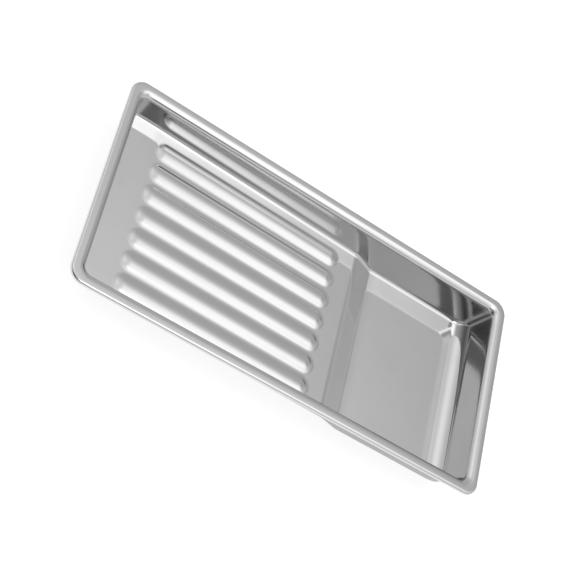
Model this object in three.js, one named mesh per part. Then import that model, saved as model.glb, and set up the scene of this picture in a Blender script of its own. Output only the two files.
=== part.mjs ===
// Seamless stainless-steel pan: one drawn sheet with a ribbed shelf, a deep well and a rim
// rolled over a steel wire.
// Millimetres, +Z up. X runs along the pan, from the shelf's end (-X) to the well's end (+X),
// and Y runs across it. The origin is under the middle of the pan, on the plane that the
// underside of the well rests on.
import * as THREE from 'three';
import { mergeVertices } from 'three/addons/utils/BufferGeometryUtils.js';

const { degToRad, lerp, clamp } = THREE.MathUtils;
const QUARTER_TURN = Math.PI / 2;

// Overall size and sheet
const LENGTH = 313;
const WIDTH = 150;
const SHEET = 0.6;
const WELL_DEPTH = 29.4;
const SHELF_DEPTH_LOW = 23.75;
const SHELF_DEPTH_END = 19.55;
const RIM_TOP = WELL_DEPTH + SHEET;

// Rim: a roll over the wire, a narrow crest, then a shoulder into the wall
const ROLL_RADIUS = 1.8;
const ROLL_TURN = degToRad(262);
const CREST_WIDTH = 2.55;
const SHOULDER_RADIUS = 4.95;
const WIRE_RADIUS = 0.85;
const WIRE_BUTT_GAP = 1;

// Walls and the fillets at their feet
const SIDE_DRAFT = degToRad(8.4);
const END_DRAFT = degToRad(8.6);
const SIDE_FILLET = 3.2;
const SHELF_END_FILLET = 2;
const WELL_END_FILLET = 2.6;

// Corner radii, seen from above
const CORNER_OUTER = 10.2;
const CORNER_CREST = 9;
const CORNER_WALL_TOP = 5.5;
const CORNER_WALL_FOOT = 5.3;

// Stretches of the floor along X: a shallow ramp under the ribs, a drop of two arcs and a
// straight slope, the level well, and a scoop that curves up to the well's end
const RAMP_START = -125;
const DROP_MIDDLE = 49.6;
const DROP_SLOPE = degToRad(20.1);
const DROP_TOP_RADIUS = 15;
const DROP_FOOT_RADIUS = 8;
const SCOOP_RADIUS = 12;
const SCOOP_RISE = degToRad(75);

// Ribs pressed up in the shelf
const RIB_COUNT = 7;
const RIB_PITCH = 16.57;
const RIB_HALF_WIDTH = 7.93;
const RIB_LEFT_END = -122.1;
const RIB_RIGHT_END = 28.5;
const RIB_CREST_RADIUS = 16.1;
const RIB_FOOT_RADIUS = 7;

// Facets, and how close two corners must be to be one
const CORNER_STEPS = 6;
const SCOOP_STEPS = 5;
const DROP_TOP_STEPS = 4;
const DROP_FOOT_STEPS = 3;
const FILLET_STEPS = 4;
const SHOULDER_STEPS = 5;
const ROLL_STEPS = 12;
const RIB_RINGS = 6;
const RIB_END_STEPS = 8;
const WIRE_SIDES = 10;
const SETTLING_PASSES = 20;
const MERGE_DISTANCE = 0.001;

// Where the drop begins and ends, and where the scoop leaves the level floor
const DROP_HALF_RUN = (WELL_DEPTH - SHELF_DEPTH_LOW) / 2 / Math.tan(DROP_SLOPE);
const DROP_START = DROP_MIDDLE - DROP_HALF_RUN - DROP_TOP_RADIUS * Math.tan(DROP_SLOPE / 2);
const DROP_END = DROP_MIDDLE + DROP_HALF_RUN + DROP_FOOT_RADIUS * Math.tan(DROP_SLOPE / 2);
const SCOOP_START = scoopStart();

function scoopStart() {
  const depth = WELL_DEPTH - SCOOP_RADIUS * (1 - Math.cos(SCOOP_RISE));
  const { inset } = sectionPoints(depth, SCOOP_RISE, WELL_END_FILLET, END_DRAFT)[0];
  return LENGTH / 2 - inset - SCOOP_RADIUS * Math.sin(SCOOP_RISE);
}

// Slope angle of the scoop: none on the level floor.
function floorRise(x) {
  return Math.asin(clamp((x - SCOOP_START) / SCOOP_RADIUS, 0, Math.sin(SCOOP_RISE)));
}

// Depth of the floor below the rim's top.
function floorDepth(x) {
  const pastTop = x - DROP_START;
  const beforeFoot = DROP_END - x;
  if (pastTop <= 0) {
    const ramp = clamp((x - RAMP_START) / (DROP_START - RAMP_START), 0, 1);
    return lerp(SHELF_DEPTH_END, SHELF_DEPTH_LOW, ramp);
  }
  if (beforeFoot <= 0) {
    return WELL_DEPTH - SCOOP_RADIUS * (1 - Math.cos(floorRise(x)));
  }
  if (pastTop < DROP_TOP_RADIUS * Math.sin(DROP_SLOPE)) {
    return SHELF_DEPTH_LOW + DROP_TOP_RADIUS - Math.sqrt(DROP_TOP_RADIUS ** 2 - pastTop ** 2);
  }
  if (beforeFoot < DROP_FOOT_RADIUS * Math.sin(DROP_SLOPE)) {
    return WELL_DEPTH - DROP_FOOT_RADIUS + Math.sqrt(DROP_FOOT_RADIUS ** 2 - beforeFoot ** 2);
  }
  return (SHELF_DEPTH_LOW + WELL_DEPTH) / 2 + (x - DROP_MIDDLE) * Math.tan(DROP_SLOPE);
}

// One section through the sheet's upper face, from the floor's edge up the wall, over the rim
// and round the roll. Each point has its inset from the outer edge, its height over the rim's
// top (negative), and the plan radius of the corner at that place. `rise` is the floor's slope
// angle where the section starts.
function sectionPoints(depth, rise, fillet, draft) {
  const points = [];
  const add = (inset, height, corner) => points.push({ inset, height, corner });
  const shoulderInset = ROLL_RADIUS + CREST_WIDTH;
  const wallTopInset = shoulderInset + SHOULDER_RADIUS * Math.cos(draft);
  const wallTop = SHOULDER_RADIUS * (Math.sin(draft) - 1);
  const wallFoot = fillet * (Math.cos(rise) - Math.sin(draft)) - depth;
  const wallFootInset = wallTopInset + (wallTop - wallFoot) * Math.tan(draft);
  const footUp = (wallFoot + WELL_DEPTH) / (wallTop + WELL_DEPTH);
  const footCorner = lerp(CORNER_WALL_FOOT, CORNER_WALL_TOP, footUp);

  for (let i = 0; i <= FILLET_STEPS; i++) {
    const angle = lerp(QUARTER_TURN - rise, draft, i / FILLET_STEPS);
    const out = fillet * (Math.cos(angle) - Math.cos(draft));
    add(wallFootInset - out, wallFoot + fillet * (Math.sin(draft) - Math.sin(angle)), footCorner + out);
  }
  for (let i = 0; i <= SHOULDER_STEPS; i++) {
    const angle = lerp(QUARTER_TURN - draft, 0, i / SHOULDER_STEPS);
    const inset = shoulderInset + SHOULDER_RADIUS * Math.sin(angle);
    const along = (wallTopInset - inset) / (wallTopInset - shoulderInset);
    add(inset, SHOULDER_RADIUS * (Math.cos(angle) - 1), lerp(CORNER_WALL_TOP, CORNER_CREST, along));
  }
  for (let i = 0; i <= ROLL_STEPS; i++) {
    const angle = (ROLL_TURN * i) / ROLL_STEPS;
    const inset = ROLL_RADIUS * (1 - Math.sin(angle));
    add(inset, ROLL_RADIUS * (Math.cos(angle) - 1), CORNER_OUTER - inset);
  }
  return points;
}

// The section across the far long side, as points in space.
function sideLine(x) {
  const section = sectionPoints(floorDepth(x), 0, SIDE_FILLET, SIDE_DRAFT);
  return section.map((p) => new THREE.Vector3(x, WIDTH / 2 - p.inset, RIM_TOP + p.height));
}

// A section in a far corner, as points in space; `turn` runs from 0 on the end to 1 on the long
// side. The floor's height there depends on where the section starts, so it settles in passes.
function cornerLine(sx, turn) {
  const outX = Math.cos(turn * QUARTER_TURN);
  const outY = Math.sin(turn * QUARTER_TURN);
  const fillet = lerp(sx > 0 ? WELL_END_FILLET : SHELF_END_FILLET, SIDE_FILLET, turn);
  const draft = lerp(END_DRAFT, SIDE_DRAFT, turn);
  const place = ({ inset, height, corner }) => new THREE.Vector3(
    sx * (LENGTH / 2 - inset - corner + corner * outX),
    WIDTH / 2 - inset - corner + corner * outY,
    RIM_TOP + height,
  );
  let line = [new THREE.Vector3(sx * (LENGTH / 2 - CORNER_OUTER), 0, 0)];
  for (let pass = 0; pass < SETTLING_PASSES; pass++) {
    const { x } = line[0];
    const rise = Math.atan(Math.tan(floorRise(x)) * outX);
    line = sectionPoints(floorDepth(x), rise, fillet, draft).map(place);
  }
  return line;
}

// Sections along the far half of the pan, from the well's end round to the shelf's end.
function farSections() {
  const wellCorner = [];
  const shelfCorner = [];
  for (let i = 0; i <= CORNER_STEPS; i++) {
    wellCorner.push(cornerLine(1, i / CORNER_STEPS));
    shelfCorner.unshift(cornerLine(-1, i / CORNER_STEPS));
  }
  const places = [RAMP_START];
  for (let i = 0; i <= DROP_TOP_STEPS; i++) {
    places.push(DROP_START + DROP_TOP_RADIUS * Math.sin((DROP_SLOPE * i) / DROP_TOP_STEPS));
  }
  for (let i = DROP_FOOT_STEPS; i >= 0; i--) {
    places.push(DROP_END - DROP_FOOT_RADIUS * Math.sin((DROP_SLOPE * i) / DROP_FOOT_STEPS));
  }
  const riseAtCorner = floorRise(wellCorner.at(-1)[0].x);
  for (let i = 0; i < SCOOP_STEPS; i++) {
    places.push(SCOOP_START + SCOOP_RADIUS * Math.sin((riseAtCorner * i) / SCOOP_STEPS));
  }
  return [...wellCorner, ...places.reverse().map(sideLine), ...shelfCorner];
}

// The same point on the other side of the lengthwise middle plane.
function mirrored(point) {
  return new THREE.Vector3(point.x, -point.y, point.z);
}

// Height of a rib over the shelf at a distance from its middle line: a round crest that runs
// out into a round foot.
function ribHeight(distance) {
  const slope = RIB_HALF_WIDTH / (RIB_CREST_RADIUS + RIB_FOOT_RADIUS);
  const foot = RIB_HALF_WIDTH - distance;
  if (distance < RIB_CREST_RADIUS * slope) {
    const total = (RIB_CREST_RADIUS + RIB_FOOT_RADIUS) * (1 - Math.sqrt(1 - slope * slope));
    return total - RIB_CREST_RADIUS + Math.sqrt(RIB_CREST_RADIUS ** 2 - distance ** 2);
  }
  return RIB_FOOT_RADIUS - Math.sqrt(RIB_FOOT_RADIUS ** 2 - foot ** 2);
}

// Outline of a rib at a distance from its middle line: two half circles and two straight sides.
function ribOutline(centreY, distance) {
  const points = [];
  const ends = [RIB_RIGHT_END - RIB_HALF_WIDTH, RIB_LEFT_END + RIB_HALF_WIDTH];
  ends.forEach((endX, which) => {
    for (let i = 0; i <= RIB_END_STEPS; i++) {
      const angle = (which - 0.5 + i / RIB_END_STEPS) * Math.PI;
      const x = endX + distance * Math.cos(angle);
      points.push(new THREE.Vector3(
        x,
        centreY + distance * Math.sin(angle),
        RIM_TOP - floorDepth(x) + ribHeight(distance),
      ));
    }
  });
  return points;
}

// Triangles between closed rows of points that have the same count, each row inside the one
// before it.
function addBands(triangles, rows) {
  for (let r = 0; r + 1 < rows.length; r++) {
    const low = rows[r];
    const high = rows[r + 1];
    low.forEach((point, i) => {
      const j = (i + 1) % low.length;
      triangles.push([point, low[j], high[j]], [point, high[j], high[i]]);
    });
  }
}

// Triangles of one flat stretch of the floor, given its outline and the outlines left open in it.
function addPlate(triangles, outline, openings = []) {
  const points = [...outline, ...openings.flat()];
  const faces = THREE.ShapeUtils.triangulateShape(outline, openings);
  faces.forEach((face) => triangles.push(face.map((v) => points[v])));
}

// Geometry from a list of triangles, with shared corners merged and empty triangles left out.
function weld(triangles) {
  const loose = new THREE.BufferGeometry().setFromPoints(triangles.flat());
  const merged = mergeVertices(loose, MERGE_DISTANCE);
  const index = merged.getIndex().array;
  const kept = [];
  for (let i = 0; i < index.length; i += 3) {
    const [a, b, c] = index.slice(i, i + 3);
    if (a !== b && b !== c && c !== a) kept.push(a, b, c);
  }
  merged.setIndex(kept);
  return merged;
}

// The sheet's upper face: the floor's stretches, the ribs, the walls and the rolled rim.
function upperFace() {
  const triangles = [];
  const far = farSections();
  const near = far.map((section) => section.map(mirrored)).reverse();
  const sections = [...far, ...near];
  const rows = sections[0].map((_, k) => sections.map((section) => section[k])).reverse();
  addBands(triangles, rows);

  const ribs = [];
  for (let i = 0; i < RIB_COUNT; i++) {
    const centreY = (i - (RIB_COUNT - 1) / 2) * RIB_PITCH;
    const rings = [];
    for (let k = 0; k <= RIB_RINGS; k++) {
      rings.push(ribOutline(centreY, RIB_HALF_WIDTH * (1 - k / RIB_RINGS)));
    }
    addBands(triangles, rings);
    ribs.push(rings[0]);
  }

  const edge = far.map((section) => section[0]);
  for (let i = 0; i + 1 < edge.length; i++) {
    const outline = [edge[i], edge[i + 1], mirrored(edge[i + 1]), mirrored(edge[i])];
    const holdsRibs = edge[i + 1].x < RIB_LEFT_END && edge[i].x > RIB_RIGHT_END;
    addPlate(triangles, outline, holdsRibs ? ribs : []);
  }
  return weld(triangles);
}

// A closed solid of the sheet's thickness under an open face: the face, the same face moved in
// by the thickness, and a strip along the free edge.
function thicken(face, thickness) {
  face.computeVertexNormals();
  const place = face.getAttribute('position');
  const normal = face.getAttribute('normal');
  const index = face.getIndex().array;
  const upper = [];
  const lower = [];
  for (let i = 0; i < place.count; i++) {
    const point = new THREE.Vector3().fromBufferAttribute(place, i);
    const inward = new THREE.Vector3().fromBufferAttribute(normal, i).multiplyScalar(-thickness);
    upper.push(point);
    lower.push(point.clone().add(inward));
  }
  const triangles = [];
  const open = new Map();
  for (let i = 0; i < index.length; i += 3) {
    const corners = [index[i], index[i + 1], index[i + 2]];
    triangles.push(corners.map((v) => upper[v]));
    triangles.push(corners.map((v) => lower[v]).reverse());
    corners.forEach((from, k) => {
      const to = corners[(k + 1) % 3];
      if (!open.delete(`${to} ${from}`)) open.set(`${from} ${to}`, [from, to]);
    });
  }
  for (const [from, to] of open.values()) {
    triangles.push([upper[to], upper[from], lower[from]], [upper[to], lower[from], lower[to]]);
  }
  return weld(triangles);
}

// Middle line of the rim wire: once round inside the roll, with its two ends butted at the
// middle of the far side. Its steps are the stations of the corners.
class WireLine extends THREE.Curve {
  constructor() {
    super();
    const radius = CORNER_OUTER - ROLL_RADIUS;
    const centreX = LENGTH / 2 - CORNER_OUTER;
    const centreY = WIDTH / 2 - CORNER_OUTER;
    const height = RIM_TOP - ROLL_RADIUS;
    const farY = centreY + radius;
    this.stations = [new THREE.Vector3(-WIRE_BUTT_GAP / 2, farY, height)];
    for (let quarter = 1; quarter <= 4; quarter++) {
      for (let i = 0; i <= CORNER_STEPS; i++) {
        const angle = (quarter + i / CORNER_STEPS) * QUARTER_TURN;
        const sx = quarter === 1 || quarter === 2 ? -1 : 1;
        const sy = quarter === 1 || quarter === 4 ? 1 : -1;
        this.stations.push(new THREE.Vector3(
          sx * centreX + radius * Math.cos(angle),
          sy * centreY + radius * Math.sin(angle),
          height,
        ));
      }
    }
    this.stations.push(new THREE.Vector3(WIRE_BUTT_GAP / 2, farY, height));
  }

  get steps() {
    return this.stations.length - 1;
  }

  getUtoTmapping(u) {
    return u;
  }

  getPoint(t) {
    const place = clamp(t, 0, 1) * this.steps;
    const before = Math.min(Math.floor(place), this.steps - 1);
    return this.stations[before].clone().lerp(this.stations[before + 1], place - before);
  }
}

function rimWire() {
  const line = new WireLine();
  const round = new THREE.Shape();
  for (let i = 0; i < WIRE_SIDES; i++) {
    const angle = (i / WIRE_SIDES) * 2 * Math.PI;
    const point = [WIRE_RADIUS * Math.cos(angle), WIRE_RADIUS * Math.sin(angle)];
    if (i === 0) round.moveTo(...point);
    else round.lineTo(...point);
  }
  return new THREE.ExtrudeGeometry(round, { steps: line.steps, extrudePath: line });
}

function named(name, geometry, look) {
  const mesh = new THREE.Mesh(geometry, new THREE.MeshStandardMaterial(look));
  mesh.name = name;
  return mesh;
}

const pan = new THREE.Group();
pan.name = 'pan';
pan.add(
  named('pan_shell', thicken(upperFace(), SHEET), { color: 0xd3d3d3, roughness: 0.1, metalness: 1 }),
  named('rim_wire', rimWire(), { color: 0xbcbcbc, roughness: 0.4, metalness: 1 }),
);

export default pan;
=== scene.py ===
"""Mud pan in polished stainless steel: the fine pressed surface, its finish, and a plain studio.

The CAD frame gives the pan's outer box. The shell is rebuilt here inside that box as one smooth
sheet, with the same sections as the CAD shell and many more steps, because a mirror-like surface
shows every facet. The wire inside the rolled rim is rebuilt round in the same way.
Lengths in the constants are millimetres, except where a comment says metres. Everything that
Blender gets is in metres.
"""

import math

import bpy
from mathutils import Matrix, Vector


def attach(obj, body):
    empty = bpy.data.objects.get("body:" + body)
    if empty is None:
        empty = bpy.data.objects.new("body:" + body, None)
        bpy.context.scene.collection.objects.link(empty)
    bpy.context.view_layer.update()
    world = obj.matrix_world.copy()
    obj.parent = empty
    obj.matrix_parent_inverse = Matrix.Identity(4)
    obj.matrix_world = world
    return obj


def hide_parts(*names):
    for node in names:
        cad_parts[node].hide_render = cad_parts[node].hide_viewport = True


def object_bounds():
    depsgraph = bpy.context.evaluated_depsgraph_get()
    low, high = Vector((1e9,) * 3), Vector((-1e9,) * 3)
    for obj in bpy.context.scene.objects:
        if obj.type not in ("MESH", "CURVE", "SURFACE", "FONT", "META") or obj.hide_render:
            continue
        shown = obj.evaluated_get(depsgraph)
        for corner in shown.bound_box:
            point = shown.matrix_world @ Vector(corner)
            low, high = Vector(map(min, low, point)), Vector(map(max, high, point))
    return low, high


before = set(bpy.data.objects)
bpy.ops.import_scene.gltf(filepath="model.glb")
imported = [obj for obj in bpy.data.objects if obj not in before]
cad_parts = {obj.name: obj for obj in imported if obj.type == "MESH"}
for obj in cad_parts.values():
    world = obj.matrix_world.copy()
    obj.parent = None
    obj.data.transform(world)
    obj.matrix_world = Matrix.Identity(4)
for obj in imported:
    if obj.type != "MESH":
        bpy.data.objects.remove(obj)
cad_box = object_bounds()

MM = 0.001
LENGTH = (cad_box[1].x - cad_box[0].x) / MM
WIDTH = (cad_box[1].y - cad_box[0].y) / MM
RIM_TOP = cad_box[1].z / MM

# Sheet and depths below the rim's top
SHEET = 0.6
WELL_DEPTH = 29.4
SHELF_DEPTH_LOW = 23.75
SHELF_DEPTH_END = 19.55

# Rim: a roll over the wire, a narrow crest, then a shoulder into the wall
ROLL_RADIUS = 1.8
ROLL_TURN = math.radians(262)
CREST_WIDTH = 2.55
WIRE_RADIUS = 0.85
WIRE_BUTT_GAP = 1.0
SHOULDER_RADIUS = 4.95

# Walls and the fillets at their feet
SIDE_DRAFT = math.radians(8.4)
END_DRAFT = math.radians(8.6)
SIDE_FILLET = 3.2
SHELF_END_FILLET = 2.0
WELL_END_FILLET = 2.6

# Corner radii, seen from above
CORNER_OUTER = 10.2
CORNER_CREST = 9.0
CORNER_WALL_TOP = 5.5
CORNER_WALL_FOOT = 5.3

# Stretches of the floor along X: a shallow ramp, then a drop of two arcs and a straight slope,
# and a scoop that curves up to the well's end
RAMP_START = -125.0
DROP_MIDDLE = 49.6
DROP_SLOPE = math.radians(20.1)
DROP_TOP_RADIUS = 15.0
DROP_FOOT_RADIUS = 8.0
SCOOP_RADIUS = 12.0
SCOOP_RISE = math.radians(75.0)

# Ribs pressed up in the shelf
RIB_COUNT = 7
RIB_PITCH = 16.57
RIB_HALF_WIDTH = 7.93
RIB_LEFT_END = -122.1
RIB_RIGHT_END = 28.5
RIB_CREST_RADIUS = 16.1
RIB_FOOT_RADIUS = 7.0

# Light tent: its even level, how that level changes per unit along X, Y and Z, and the darkest
# that a screen can make it
TENT_LEVEL = 0.75
TENT_SLOPE = (0.05, -0.15, -0.35)
TENT_LEAST_LEVEL = 0.02

# Soft boxes and dark screens on the tent, each as azimuth from +X and elevation in degrees,
# strength added to the tent's level, and half its width in degrees
KEY_BOX = (20, 55, 1.1, 16)
BROAD_FILL_BOX = (145, 60, 0.8, 28)
HIGH_STRIP_BOX = (-45, 70, 1.7, 11)
LOW_STRIP_BOX = (-65, 50, 1.1, 11)
SCREEN_UNDER_KEY = (30, 45, -0.6, 11)
BROAD_LOW_SCREEN = (-135, 25, -0.65, 28)
NEAR_SIDE_SCREEN = (-75, 35, -0.8, 10)
FAR_HORIZON_SCREEN = (45, 0, -0.85, 12)

# Floor: half its size in metres, how far it lies under the pan in millimetres, its own colour and
# roughness, and a glow that keeps it white and its shadow faint
FLOOR_HALF_SIZE = 3.0
FLOOR_DROP = 0.5
FLOOR_COLOUR = 0.45
FLOOR_GLOW = 0.78
FLOOR_ROUGHNESS = 0.9

# Camera: angles in degrees, place in metres, lens in millimetres
CAMERA_AZIMUTH = 38.38
CAMERA_ELEVATION = 48.27
CAMERA_ROLL = -60.88
CAMERA_AIM = (-0.0167, -0.0058)
CAMERA_DISTANCE = 0.9796
CAMERA_SENSOR = 36
CAMERA_LENS = 98.04

# Where the zones of the sheet's finish begin and end: the size of the normal's Z over which a wall
# turns into floor, millimetres above the shelf for a rib's crest, and millimetres below the rim's
# top, where the crests' zone stops and where the rim's zone starts
WALL_FADE = (0.25, 0.6)
CREST_FADE = (0.7, 1.4)
BELOW_RIM_FADE = (6.0, 4.0)
RIM_FADE = (0.8, 0.05)

# Marks on the sheet, as cells per metre along X, Y and Z, and the noise values where each fades in
HAZE_CELLS = (28, 42, 60)
HAZE_FADE = (0.42, 0.7)
SMUDGE_CELLS = (90, 130, 110)
SMUDGE_FADE = (0.56, 0.72)
LINES_CELLS = (45, 3800, 3800)
DRAW_MARK_CELLS = (2600, 2600, 70)
DRAW_MARK_FADE = (0.3, 0.7)
SCRATCH_CELLS_AND_TURNS = (((38, 2400, 900), 7), ((30, 2900, 900), -12), ((2200, 26, 900), 4))
SCRATCH_FADE = (0.69, 0.76)
RUBBING_CELLS = (3200, 60, 900)
RUBBING_FADE = (0.5, 0.7)
SPECKLE_CELLS = (900, 900, 900)
SPECKLE_FADE = (0.68, 0.8)
WAVE_CELLS = (34, 50, 50)
ORANGE_PEEL_CELLS = (650, 700, 650)

# Sheet's finish: brightness, then what each mark adds to the roughness
SHEET_LEVEL = (0.66, 0.645)
# The underside's brightness is lowered here: painted shade under the pan, darker than the steel's own tone
UNDER_PAINTED_SHADE = -0.25
SPECKLE_LEVEL_CHANGE = -0.03
LINES_LEVEL_CHANGE = 0.02
BASE_ROUGHNESS = 0.055
HAZE_ROUGHNESS = 0.03
SMUDGE_ROUGHNESS = 0.018
LINES_ROUGHNESS = 0.03
WALL_ROUGHNESS = (0.04, 0.08)
UNDER_ROUGHNESS = 0.12
CREST_ROUGHNESS = (0.015, 0.09)
RIM_ROUGHNESS = (0.02, 0.06)
SCRATCH_ROUGHNESS = 0.05
LEAST_ROUGHNESS = 0.02

# Sheet's relief in metres
WAVE_RELIEF = 11e-6
ORANGE_PEEL_RELIEF = 0.35e-6
LINES_RELIEF = 0.12e-6
DRAW_MARK_RELIEF = 0.4e-6
SCRATCH_RELIEF = -0.5e-6
RUBBING_RELIEF = -0.5e-6

# Wire's finish: its marks, brightness and roughness from clean to soapy, and lines' relief in metres
WIRE_PATCH_CELLS = (160, 160, 400)
WIRE_PATCH_FADE = (0.45, 0.65)
WIRE_LINES_CELLS = (300, 300, 9000)
WIRE_LEVEL = (0.52, 0.36)
WIRE_ROUGHNESS = (0.32, 0.5)
WIRE_LINES_ROUGHNESS = 0.1
WIRE_LINES_RELIEF = 4e-6

# Steps of the fine surface, and its spacings in millimetres along the floor
FILLET_STEPS = 14
WALL_STEPS = 6
SHOULDER_STEPS = 14
CREST_STEPS = 2
ROLL_STEPS = 30
FLOOR_MARGIN = 2.0
CORNER_SPACING = 0.3
SCOOP_SPACING = 0.4
CURVE_SPACING = 0.7
ACROSS_SPACING = 0.8
FLAT_SPACINGS = (2.0, 1.5, 8.0, 1.0, 6.0)
MARGIN_STEPS = 4
CORNER_PASSES = 12
WIRE_SIDES = 16
WIRE_CORNER_STEPS = 14


# ---------------------------------------------------------------- the pressed surface

def lerp(a, b, t):
    return a + (b - a) * t


def drop_ends():
    """Where the drop leaves the shelf's ramp and where it meets the level well."""
    half_run = (WELL_DEPTH - SHELF_DEPTH_LOW) / 2 / math.tan(DROP_SLOPE)
    half_turn = math.tan(DROP_SLOPE / 2)
    return (DROP_MIDDLE - half_run - DROP_TOP_RADIUS * half_turn,
            DROP_MIDDLE + half_run + DROP_FOOT_RADIUS * half_turn)


def scoop_start():
    """Where the scoop leaves the level well, so that it meets the foot of the end's wall."""
    depth = WELL_DEPTH - SCOOP_RADIUS * (1 - math.cos(SCOOP_RISE))
    inset = section_points(depth, SCOOP_RISE, WELL_END_FILLET, END_DRAFT)[0][0]
    return LENGTH / 2 - inset - SCOOP_RADIUS * math.sin(SCOOP_RISE)


def floor_rise(x):
    """Slope angle of the scoop: none on the level floor."""
    return math.asin(min(max((x - scoop_from) / SCOOP_RADIUS, 0.0), math.sin(SCOOP_RISE)))


def floor_depth(x):
    """Depth of the floor below the rim's top: level end, ramp, soft drop, level well, scoop."""
    past_top = x - drop_from
    before_foot = drop_to - x
    if past_top <= 0:
        ramp = max((x - RAMP_START) / (drop_from - RAMP_START), 0.0)
        return lerp(SHELF_DEPTH_END, SHELF_DEPTH_LOW, ramp)
    if before_foot <= 0:
        return WELL_DEPTH - SCOOP_RADIUS * (1 - math.cos(floor_rise(x)))
    if past_top < DROP_TOP_RADIUS * math.sin(DROP_SLOPE):
        return SHELF_DEPTH_LOW + DROP_TOP_RADIUS - math.sqrt(DROP_TOP_RADIUS ** 2 - past_top ** 2)
    if before_foot < DROP_FOOT_RADIUS * math.sin(DROP_SLOPE):
        return WELL_DEPTH - DROP_FOOT_RADIUS + math.sqrt(DROP_FOOT_RADIUS ** 2 - before_foot ** 2)
    return (SHELF_DEPTH_LOW + WELL_DEPTH) / 2 + (x - DROP_MIDDLE) * math.tan(DROP_SLOPE)


def rib_height(distance):
    """Height of a rib over the shelf at a distance from its middle line."""
    slope = RIB_HALF_WIDTH / (RIB_CREST_RADIUS + RIB_FOOT_RADIUS)
    foot = RIB_HALF_WIDTH - distance
    if foot <= 0:
        return 0.0
    if distance < RIB_CREST_RADIUS * slope:
        total = (RIB_CREST_RADIUS + RIB_FOOT_RADIUS) * (1 - math.sqrt(1 - slope ** 2))
        return total - RIB_CREST_RADIUS + math.sqrt(RIB_CREST_RADIUS ** 2 - distance ** 2)
    return RIB_FOOT_RADIUS - math.sqrt(RIB_FOOT_RADIUS ** 2 - foot ** 2)


def floor_height(x, y):
    """Height of the pressed floor, ribs included."""
    beyond = max(x - (RIB_RIGHT_END - RIB_HALF_WIDTH), RIB_LEFT_END + RIB_HALF_WIDTH - x, 0.0)
    last = (RIB_COUNT - 1) / 2
    nearest = min(max(round(y / RIB_PITCH), -last), last)
    distance = math.hypot(beyond, y - nearest * RIB_PITCH)
    return RIM_TOP - floor_depth(x) + rib_height(distance)


def section_points(depth, rise, fillet, draft):
    """(inset, height) from the floor's edge up the wall, over the rim and round the roll."""
    shoulder_inset = ROLL_RADIUS + CREST_WIDTH
    wall_top_inset = shoulder_inset + SHOULDER_RADIUS * math.cos(draft)
    wall_top = SHOULDER_RADIUS * (math.sin(draft) - 1)
    wall_foot = fillet * (math.cos(rise) - math.sin(draft)) - depth
    wall_foot_inset = wall_top_inset + (wall_top - wall_foot) * math.tan(draft)
    points = []
    for i in range(FILLET_STEPS + 1):
        angle = lerp(math.pi / 2 - rise, draft, i / FILLET_STEPS)
        inset = wall_foot_inset + fillet * (math.cos(draft) - math.cos(angle))
        points.append((inset, wall_foot + fillet * (math.sin(draft) - math.sin(angle))))
    for i in range(1, WALL_STEPS):
        t = i / WALL_STEPS
        points.append((lerp(wall_foot_inset, wall_top_inset, t), lerp(wall_foot, wall_top, t)))
    for i in range(SHOULDER_STEPS + 1):
        angle = lerp(math.pi / 2 - draft, 0, i / SHOULDER_STEPS)
        height = SHOULDER_RADIUS * (math.cos(angle) - 1)
        points.append((shoulder_inset + SHOULDER_RADIUS * math.sin(angle), height))
    for i in range(1, CREST_STEPS):
        points.append((lerp(shoulder_inset, ROLL_RADIUS, i / CREST_STEPS), 0.0))
    for i in range(ROLL_STEPS + 1):
        angle = ROLL_TURN * i / ROLL_STEPS
        points.append((ROLL_RADIUS * (1 - math.sin(angle)), ROLL_RADIUS * (math.cos(angle) - 1)))
    return points


def corner_radii(points):
    """Plan radius of the corner at each point of a section, from the foot of the wall outwards."""
    first = FILLET_STEPS
    wall_top = FILLET_STEPS + WALL_STEPS
    crest = wall_top + SHOULDER_STEPS
    roll = crest + CREST_STEPS
    radii = []
    for k, (inset, height) in enumerate(points):
        if k <= wall_top:
            up = (max(height, points[first][1]) + WELL_DEPTH) / (points[wall_top][1] + WELL_DEPTH)
            radii.append(lerp(CORNER_WALL_FOOT, CORNER_WALL_TOP, up))
        elif k <= crest:
            along = (points[wall_top][0] - inset) / (points[wall_top][0] - points[crest][0])
            radii.append(lerp(CORNER_WALL_TOP, CORNER_CREST, along))
        elif k < roll:
            radii.append(CORNER_CREST)
        else:
            radii.append(CORNER_OUTER - inset)
    return radii


def side_line(x, sy):
    """A section across a long side, as points."""
    return [(x, sy * (WIDTH / 2 - inset), RIM_TOP + height)
            for inset, height in section_points(floor_depth(x), 0.0, SIDE_FILLET, SIDE_DRAFT)]


def corner_line(sx, sy, turn):
    """A section in a corner; turn runs from 0 on the end to 1 on the long side."""
    out_x, out_y = math.cos(turn * math.pi / 2), math.sin(turn * math.pi / 2)
    fillet = lerp(WELL_END_FILLET if sx > 0 else SHELF_END_FILLET, SIDE_FILLET, turn)
    draft = lerp(END_DRAFT, SIDE_DRAFT, turn)
    edge_x = sx * (LENGTH / 2 - CORNER_OUTER)
    for _ in range(CORNER_PASSES):
        rise = math.atan(math.tan(floor_rise(edge_x)) * out_x)
        section = section_points(floor_depth(edge_x), rise, fillet, draft)
        radii = corner_radii(section)
        foot_inset, foot_radius = section[FILLET_STEPS][0], radii[FILLET_STEPS]
        reach = foot_radius - (section[0][0] - foot_inset)
        edge_x = sx * (LENGTH / 2 - foot_inset - foot_radius + reach * out_x)
    line = []
    for k, ((inset, height), radius) in enumerate(zip(section, radii)):
        centre = foot_inset + foot_radius if k < FILLET_STEPS else inset + radius
        reach = centre - inset
        line.append((
            sx * (LENGTH / 2 - centre + reach * out_x),
            sy * (WIDTH / 2 - centre + reach * out_y),
            RIM_TOP + height,
        ))
    return line


def end_line(y, sx):
    """A section across an end, as points."""
    return [(x, y, z) for x, _, z in corner_line(sx, 1, 0.0)]


drop_from, drop_to = drop_ends()
scoop_from = scoop_start()


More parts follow.
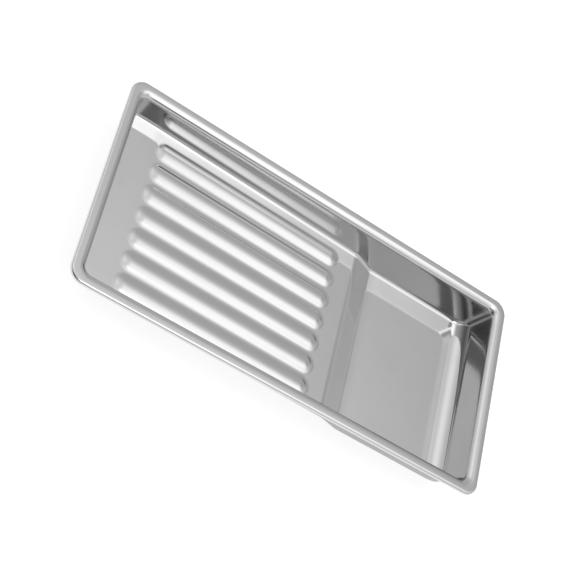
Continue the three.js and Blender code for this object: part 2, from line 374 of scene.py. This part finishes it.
def marks(*zones):
    """Places along a line: each zone is (start, end, step)."""
    places = []
    for start, end, step in zones:
        count = max(1, round((end - start) / step))
        places += [lerp(start, end, i / count) for i in range(count)]
    return places + [zones[-1][1]]


def upper_surface():
    """Points and quads of the sheet's upper face, with the free edge's row of points last."""
    left_edge, left_arc_y, _ = corner_line(-1, 1, 0.0)[0]
    right_edge, right_arc_y, _ = corner_line(1, 1, 0.0)[0]
    left_arc, right_arc = (corner_line(sx, 1, 1.0)[0][0] for sx in (-1, 1))
    side_y = side_line(scoop_from, 1)[0][1] - FLOOR_MARGIN
    arc_y = min(left_arc_y, right_arc_y, side_y - FLOOR_MARGIN)
    rib_end_left = RIB_LEFT_END + RIB_HALF_WIDTH
    rib_end_right = RIB_RIGHT_END - RIB_HALF_WIDTH
    end_flat, rib_lead, rib_run, drop_lead, well_run = FLAT_SPACINGS
    xs = marks(
        (left_edge + FLOOR_MARGIN, left_arc, CORNER_SPACING), (left_arc, RAMP_START, end_flat),
        (RAMP_START, RIB_LEFT_END, rib_lead), (RIB_LEFT_END, rib_end_left, CURVE_SPACING),
        (rib_end_left, rib_end_right, rib_run), (rib_end_right, RIB_RIGHT_END, CURVE_SPACING),
        (RIB_RIGHT_END, drop_from, drop_lead), (drop_from, drop_to, CURVE_SPACING),
        (drop_to, scoop_from, well_run), (scoop_from, right_arc, SCOOP_SPACING),
        (right_arc, right_edge - FLOOR_MARGIN, CORNER_SPACING),
    )
    ys = marks(
        (-side_y, -arc_y, CORNER_SPACING), (-arc_y, arc_y, ACROSS_SPACING), (arc_y, side_y, CORNER_SPACING),
    )
    nx, ny = len(xs), len(ys)
    points = [(x, y, floor_height(x, y)) for y in ys for x in xs]
    quads = [(j * nx + i, j * nx + i + 1, (j + 1) * nx + i + 1, (j + 1) * nx + i)
             for j in range(ny - 1) for i in range(nx - 1)]

    def station(i, j):
        x, y = xs[i], ys[j]
        sx, sy = (1 if x > 0 else -1), (1 if y > 0 else -1)
        arc_x = right_arc if sx > 0 else left_arc
        corner_x = xs[-1] if sx > 0 else xs[0]
        past_x = max(0.0, (x - arc_x) / (corner_x - arc_x))
        past_y = max(0.0, (abs(y) - arc_y) / (side_y - arc_y))
        if j in (0, ny - 1):
            return side_line(x, sy) if past_x == 0 else corner_line(sx, sy, 1 - 0.5 * past_x)
        return end_line(y, sx) if past_y == 0 else corner_line(sx, sy, 0.5 * past_y)

    around = [(i, 0) for i in range(nx)] + [(nx - 1, j) for j in range(1, ny)]
    around += [(i, ny - 1) for i in range(nx - 2, -1, -1)] + [(0, j) for j in range(ny - 2, 0, -1)]
    sections = [station(i, j) for i, j in around]
    inner = [j * nx + i for i, j in around]
    count = len(around)
    rows = []
    for step in range(1, MARGIN_STEPS):
        t = step / MARGIN_STEPS
        rows.append([])
        for n, section in zip(inner, sections):
            x, y = lerp(points[n][0], section[0][0], t), lerp(points[n][1], section[0][1], t)
            rows[-1].append((x, y, floor_height(x, y)))
    rows += [list(row) for row in zip(*sections)]
    for row in rows:
        outer = list(range(len(points), len(points) + count))
        points += row
        quads += [(inner[n], outer[n], outer[(n + 1) % count], inner[(n + 1) % count])
                  for n in range(count)]
        inner = outer
    return points, quads, inner


def shell_mesh(name):
    """The closed sheet: the upper face, the face under it, and the cut edge inside the roll."""
    points, quads, edge = upper_surface()
    face = bpy.data.meshes.new(name)
    face.from_pydata(points, [], quads)
    face.update()
    under = [tuple(v.co - v.normal * SHEET) for v in face.vertices]
    bpy.data.meshes.remove(face)
    total = len(points)
    faces = quads + [tuple(total + v for v in reversed(q)) for q in quads]
    faces += [(edge[(n + 1) % len(edge)], edge[n], total + edge[n], total + edge[(n + 1) % len(edge)])
              for n in range(len(edge))]
    mesh = bpy.data.meshes.new(name)
    mesh.from_pydata([tuple(c * MM for c in p) for p in points + under], [], faces)
    mesh.update()
    inside = mesh.attributes.new("inside", "FLOAT", "POINT")
    inside.data.foreach_set("value", [1.0] * total + [0.0] * total)
    mesh.shade_smooth()
    return mesh


# ---------------------------------------------------------------- finishes

class Nodes:
    """A small helper that adds nodes to a tree and links them."""

    def __init__(self, tree):
        self.tree = tree
        tree.nodes.clear()

    def add(self, kind, **settings):
        node = self.tree.nodes.new(kind)
        for key, value in settings.items():
            setattr(node, key, value)
        return node

    def link(self, source, target):
        self.tree.links.new(source, target)

    def fill(self, target, value):
        """Gives an input a socket's value or a plain one."""
        if isinstance(value, bpy.types.NodeSocket):
            self.link(value, target)
        else:
            target.default_value = value

    def math(self, operation, *values):
        node = self.add("ShaderNodeMath", operation=operation)
        for target, value in zip(node.inputs, values):
            self.fill(target, value)
        return node.outputs[0]

    def dot(self, a, b):
        node = self.add("ShaderNodeVectorMath", operation="DOT_PRODUCT")
        self.fill(node.inputs[0], a)
        self.fill(node.inputs[1], b)
        return node.outputs["Value"]

    def ramp(self, value, low, high, start=0.0, end=1.0):
        """Goes smoothly from start to end while the value goes from low to high."""
        node = self.add("ShaderNodeMapRange", interpolation_type="SMOOTHSTEP")
        settings = {"Value": value, "From Min": low, "From Max": high, "To Min": start, "To Max": end}
        for key, setting in settings.items():
            self.fill(node.inputs[key], setting)
        return node.outputs["Result"]

    def grain(self, per_metre, turn=0.0, detail=2.0, shift=0.0):
        """Noise on the piece itself, with its own number of cells per metre along X, Y and Z."""
        place = self.add("ShaderNodeMapping", vector_type="POINT")
        self.link(self.add("ShaderNodeTexCoord").outputs["Object"], place.inputs["Vector"])
        place.inputs["Rotation"].default_value = (0, 0, math.radians(turn))
        stretch = self.add("ShaderNodeMapping", vector_type="POINT")
        self.link(place.outputs["Vector"], stretch.inputs["Vector"])
        stretch.inputs["Location"].default_value = (shift, shift, shift)
        stretch.inputs["Scale"].default_value = per_metre
        noise = self.add("ShaderNodeTexNoise")
        self.link(stretch.outputs["Vector"], noise.inputs["Vector"])
        noise.inputs["Scale"].default_value = 1.0
        noise.inputs["Detail"].default_value = detail
        return noise.outputs["Fac"]

    def total(self, *values):
        result = values[0]
        for value in values[1:]:
            result = self.math("ADD", result, value)
        return result

    def metal(self, level, roughness, height):
        """A neutral bare metal with its brightness, roughness and relief, height in metres."""
        shader = self.add("ShaderNodeBsdfPrincipled")
        shader.inputs["Metallic"].default_value = 1.0
        self.link(self.math("MINIMUM", level, 1.0), shader.inputs["Base Color"])
        self.link(self.math("MAXIMUM", roughness, LEAST_ROUGHNESS), shader.inputs["Roughness"])
        bump = self.add("ShaderNodeBump")
        bump.inputs["Strength"].default_value = 1.0
        bump.inputs["Distance"].default_value = 1.0
        self.link(height, bump.inputs["Height"])
        self.link(bump.outputs["Normal"], shader.inputs["Normal"])
        self.link(shader.outputs["BSDF"], self.add("ShaderNodeOutputMaterial").inputs["Surface"])


def new_material(name):
    material = bpy.data.materials.new(name)
    material.use_nodes = True
    return material, Nodes(material.node_tree)


def polished_sheet():
    """Polished stainless sheet: mirror floor, softer drawn walls, satin underside with painted shade on it,
    light wear.
    """
    material, nodes = new_material("polished_sheet")
    upright = nodes.add("ShaderNodeSeparateXYZ")
    nodes.link(nodes.add("ShaderNodeNewGeometry").outputs["Normal"], upright.inputs[0])
    wall = nodes.ramp(nodes.math("ABSOLUTE", upright.outputs["Z"]), *WALL_FADE, 1.0, 0.0)
    inside = nodes.add("ShaderNodeAttribute", attribute_name="inside").outputs["Fac"]
    under = nodes.math("SUBTRACT", 1.0, inside)

    place = nodes.add("ShaderNodeSeparateXYZ")
    nodes.link(nodes.add("ShaderNodeTexCoord").outputs["Object"], place.inputs[0])
    x, z = place.outputs["X"], place.outputs["Z"]
    slope = (SHELF_DEPTH_END - SHELF_DEPTH_LOW) / (drop_from - RAMP_START)
    shelf = nodes.math("MULTIPLY_ADD", x, slope, (RIM_TOP - SHELF_DEPTH_END - RAMP_START * slope) * MM)
    on_shelf = nodes.ramp(x, RIB_RIGHT_END * MM, drop_from * MM, 1.0, 0.0)
    proud = nodes.ramp(nodes.math("SUBTRACT", z, shelf), *(height * MM for height in CREST_FADE))
    floor = nodes.math("SUBTRACT", 1.0, wall)
    low = nodes.ramp(z, *((RIM_TOP - depth) * MM for depth in BELOW_RIM_FADE), 1.0, 0.0)
    rib_zone = nodes.math("MULTIPLY", on_shelf, proud)
    crest = nodes.math("MULTIPLY", rib_zone, nodes.math("MULTIPLY", floor, low))
    rim = nodes.ramp(z, *((RIM_TOP - depth) * MM for depth in RIM_FADE))

    haze = nodes.ramp(nodes.grain(HAZE_CELLS, turn=20, detail=4.0), *HAZE_FADE)
    smudge = nodes.ramp(nodes.grain(SMUDGE_CELLS, turn=-35, detail=5.0, shift=3.1), *SMUDGE_FADE)
    lines = nodes.grain(LINES_CELLS, detail=3.0)
    draw_marks = nodes.grain(DRAW_MARK_CELLS, detail=3.0, shift=7.7)
    scratches = nodes.total(*(
        nodes.ramp(nodes.grain(cells, turn=turn, detail=1.0, shift=turn), *SCRATCH_FADE)
        for cells, turn in SCRATCH_CELLS_AND_TURNS
    ))
    rubbing = nodes.ramp(nodes.grain(RUBBING_CELLS, turn=3, detail=3.0, shift=1.9), *RUBBING_FADE)
    speckle = nodes.ramp(nodes.grain(SPECKLE_CELLS, detail=2.0, shift=5.3), *SPECKLE_FADE)

    roughness = nodes.total(
        nodes.math("MULTIPLY", haze, HAZE_ROUGHNESS),
        nodes.math("MULTIPLY", smudge, SMUDGE_ROUGHNESS),
        nodes.math("MULTIPLY", nodes.math("SUBTRACT", lines, 0.5), LINES_ROUGHNESS),
        nodes.math("MULTIPLY", wall, nodes.ramp(draw_marks, *DRAW_MARK_FADE, *WALL_ROUGHNESS)),
        nodes.math("MULTIPLY", under, UNDER_ROUGHNESS),
        nodes.math("MULTIPLY", crest, nodes.ramp(rubbing, 0.0, 1.0, *CREST_ROUGHNESS)),
        nodes.math("MULTIPLY", rim, nodes.ramp(smudge, 0.0, 1.0, *RIM_ROUGHNESS)),
        nodes.math("MULTIPLY", scratches, SCRATCH_ROUGHNESS),
        BASE_ROUGHNESS,
    )
    level = nodes.total(
        nodes.ramp(haze, 0.0, 1.0, *SHEET_LEVEL),
        nodes.math("MULTIPLY", speckle, SPECKLE_LEVEL_CHANGE),
        # Painted shade: the underside is made darker than the upper face
        nodes.math("MULTIPLY", under, UNDER_PAINTED_SHADE),
        nodes.math("MULTIPLY", nodes.math("SUBTRACT", lines, 0.5), LINES_LEVEL_CHANGE),
    )
    height = nodes.total(
        nodes.math("MULTIPLY", nodes.grain(WAVE_CELLS, turn=10, detail=1.0), WAVE_RELIEF),
        nodes.math("MULTIPLY", nodes.grain(ORANGE_PEEL_CELLS, detail=2.0), ORANGE_PEEL_RELIEF),
        nodes.math("MULTIPLY", lines, LINES_RELIEF),
        nodes.math("MULTIPLY", nodes.math("MULTIPLY", wall, draw_marks), DRAW_MARK_RELIEF),
        nodes.math("MULTIPLY", scratches, SCRATCH_RELIEF),
        nodes.math("MULTIPLY", nodes.math("MULTIPLY", crest, rubbing), RUBBING_RELIEF),
    )
    nodes.metal(level, roughness, height)
    return material


def drawn_wire():
    """Bare drawn wire: dull, with fine lines along it and darker patches of drawing soap."""
    material, nodes = new_material("drawn_wire")
    patches = nodes.ramp(nodes.grain(WIRE_PATCH_CELLS, detail=4.0), *WIRE_PATCH_FADE)
    lines = nodes.grain(WIRE_LINES_CELLS, detail=3.0)
    level = nodes.ramp(patches, 0.0, 1.0, *WIRE_LEVEL)
    soapy = nodes.ramp(patches, 0.0, 1.0, *WIRE_ROUGHNESS)
    roughness = nodes.math("ADD", soapy, nodes.math("MULTIPLY", lines, WIRE_LINES_ROUGHNESS))
    nodes.metal(level, roughness, nodes.math("MULTIPLY", lines, WIRE_LINES_RELIEF))
    return material


def build_shell():
    mesh = shell_mesh("pan_sheet")
    mesh.materials.append(polished_sheet())
    shell = bpy.data.objects.new("pan_sheet", mesh)
    bpy.context.scene.collection.objects.link(shell)
    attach(shell, "root")
    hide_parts("pan_shell")


def wire_mesh(name):
    """Round wire once round inside the roll, its two ends butted at the middle of the far side."""
    radius = CORNER_OUTER - ROLL_RADIUS
    centre_x, centre_y = LENGTH / 2 - CORNER_OUTER, WIDTH / 2 - CORNER_OUTER
    height = RIM_TOP - ROLL_RADIUS
    path = [(-WIRE_BUTT_GAP / 2, centre_y + radius, math.pi / 2)]
    for quarter in range(1, 5):
        sx = -1 if quarter in (1, 2) else 1
        sy = 1 if quarter in (1, 4) else -1
        for i in range(WIRE_CORNER_STEPS + 1):
            angle = (quarter + i / WIRE_CORNER_STEPS) * math.pi / 2
            x = sx * centre_x + radius * math.cos(angle)
            y = sy * centre_y + radius * math.sin(angle)
            path.append((x, y, angle))
    path.append((WIRE_BUTT_GAP / 2, centre_y + radius, math.pi / 2))
    points = []
    for x, y, outward in path:
        for k in range(WIRE_SIDES):
            around = k / WIRE_SIDES * 2 * math.pi
            reach = WIRE_RADIUS * math.cos(around)
            points.append((
                (x + reach * math.cos(outward)) * MM,
                (y + reach * math.sin(outward)) * MM,
                (height + WIRE_RADIUS * math.sin(around)) * MM,
            ))
    faces = []
    for n in range(len(path) - 1):
        a = n * WIRE_SIDES
        b = (n + 1) * WIRE_SIDES
        for k in range(WIRE_SIDES):
            m = (k + 1) % WIRE_SIDES
            faces.append((a + k, a + m, b + m, b + k))
    faces.append(tuple(reversed(range(WIRE_SIDES))))
    faces.append(tuple(range(len(points) - WIRE_SIDES, len(points))))
    mesh = bpy.data.meshes.new(name)
    mesh.from_pydata(points, [], faces)
    mesh.update()
    mesh.shade_smooth()
    return mesh


def build_wire():
    mesh = wire_mesh("stiffening_wire")
    mesh.materials.append(drawn_wire())
    wire = bpy.data.objects.new("stiffening_wire", mesh)
    bpy.context.scene.collection.objects.link(wire)
    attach(wire, "root")
    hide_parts("rim_wire")


# ---------------------------------------------------------------- studio

def build_floor():
    mesh = bpy.data.meshes.new("studio_floor")
    half = FLOOR_HALF_SIZE
    corners = [(-half, -half, 0), (half, -half, 0), (half, half, 0), (-half, half, 0)]
    mesh.from_pydata(corners, [], [(0, 1, 2, 3)])
    floor = bpy.data.objects.new("studio_floor", mesh)
    floor.location.z = -FLOOR_DROP * MM
    bpy.context.scene.collection.objects.link(floor)
    material = bpy.data.materials.new("studio_floor")
    material.use_nodes = True
    shader = material.node_tree.nodes["Principled BSDF"]
    shader.inputs["Base Color"].default_value = (FLOOR_COLOUR, FLOOR_COLOUR, FLOOR_COLOUR, 1)
    shader.inputs["Roughness"].default_value = FLOOR_ROUGHNESS
    shader.inputs["Emission Color"].default_value = (1, 1, 1, 1)
    shader.inputs["Emission Strength"].default_value = FLOOR_GLOW
    mesh.materials.append(material)


def build_world():
    """A light tent: an even grey, brighter where a soft box stands, darker where a screen does."""
    world = bpy.data.worlds.new("studio")
    bpy.context.scene.world = world
    world.use_nodes = True
    nodes = Nodes(world.node_tree)
    toward = nodes.add("ShaderNodeTexCoord").outputs["Generated"]
    level = nodes.math("ADD", nodes.dot(toward, TENT_SLOPE), TENT_LEVEL)
    lights = (KEY_BOX, BROAD_FILL_BOX, HIGH_STRIP_BOX, LOW_STRIP_BOX,
              SCREEN_UNDER_KEY, BROAD_LOW_SCREEN, NEAR_SIDE_SCREEN, FAR_HORIZON_SCREEN)
    for azimuth, elevation, strength, half_width in lights:
        a, e = math.radians(azimuth), math.radians(elevation)
        sharpness = math.log(2) / (1 - math.cos(math.radians(half_width)))
        axis = (math.cos(a) * math.cos(e), math.sin(a) * math.cos(e), math.sin(e))
        off_axis = nodes.math("SUBTRACT", nodes.dot(toward, axis), 1.0)
        spot = nodes.math("EXPONENT", nodes.math("MULTIPLY", off_axis, sharpness))
        level = nodes.math("MULTIPLY_ADD", spot, strength, level)
    background = nodes.add("ShaderNodeBackground")
    nodes.link(nodes.math("MAXIMUM", level, TENT_LEAST_LEVEL), background.inputs["Color"])
    nodes.link(background.outputs["Background"], nodes.add("ShaderNodeOutputWorld").inputs["Surface"])


def build_camera():
    """A long lens from beyond the shelf's near corner, rolled so that the pan lies across the frame."""
    azimuth, elevation, roll = (math.radians(a) for a in (CAMERA_AZIMUTH, CAMERA_ELEVATION, CAMERA_ROLL))
    aim = Vector((*CAMERA_AIM, RIM_TOP * MM))
    forward = Vector((
        math.sin(azimuth) * math.cos(elevation),
        math.cos(azimuth) * math.cos(elevation),
        -math.sin(elevation),
    ))
    data = bpy.data.cameras.new("camera")
    data.sensor_width = CAMERA_SENSOR
    data.lens = CAMERA_LENS
    camera = bpy.data.objects.new("camera", data)
    bpy.context.scene.collection.objects.link(camera)
    upright = forward.to_track_quat("-Z", "Y").to_matrix().to_4x4()
    camera.matrix_world = (
        Matrix.Translation(aim - forward * CAMERA_DISTANCE) @ upright @ Matrix.Rotation(-roll, 4, "Z")
    )
    bpy.context.scene.camera = camera


build_shell()
build_wire()
build_floor()
build_world()
build_camera()
bpy.context.scene.view_settings.view_transform = "Standard"
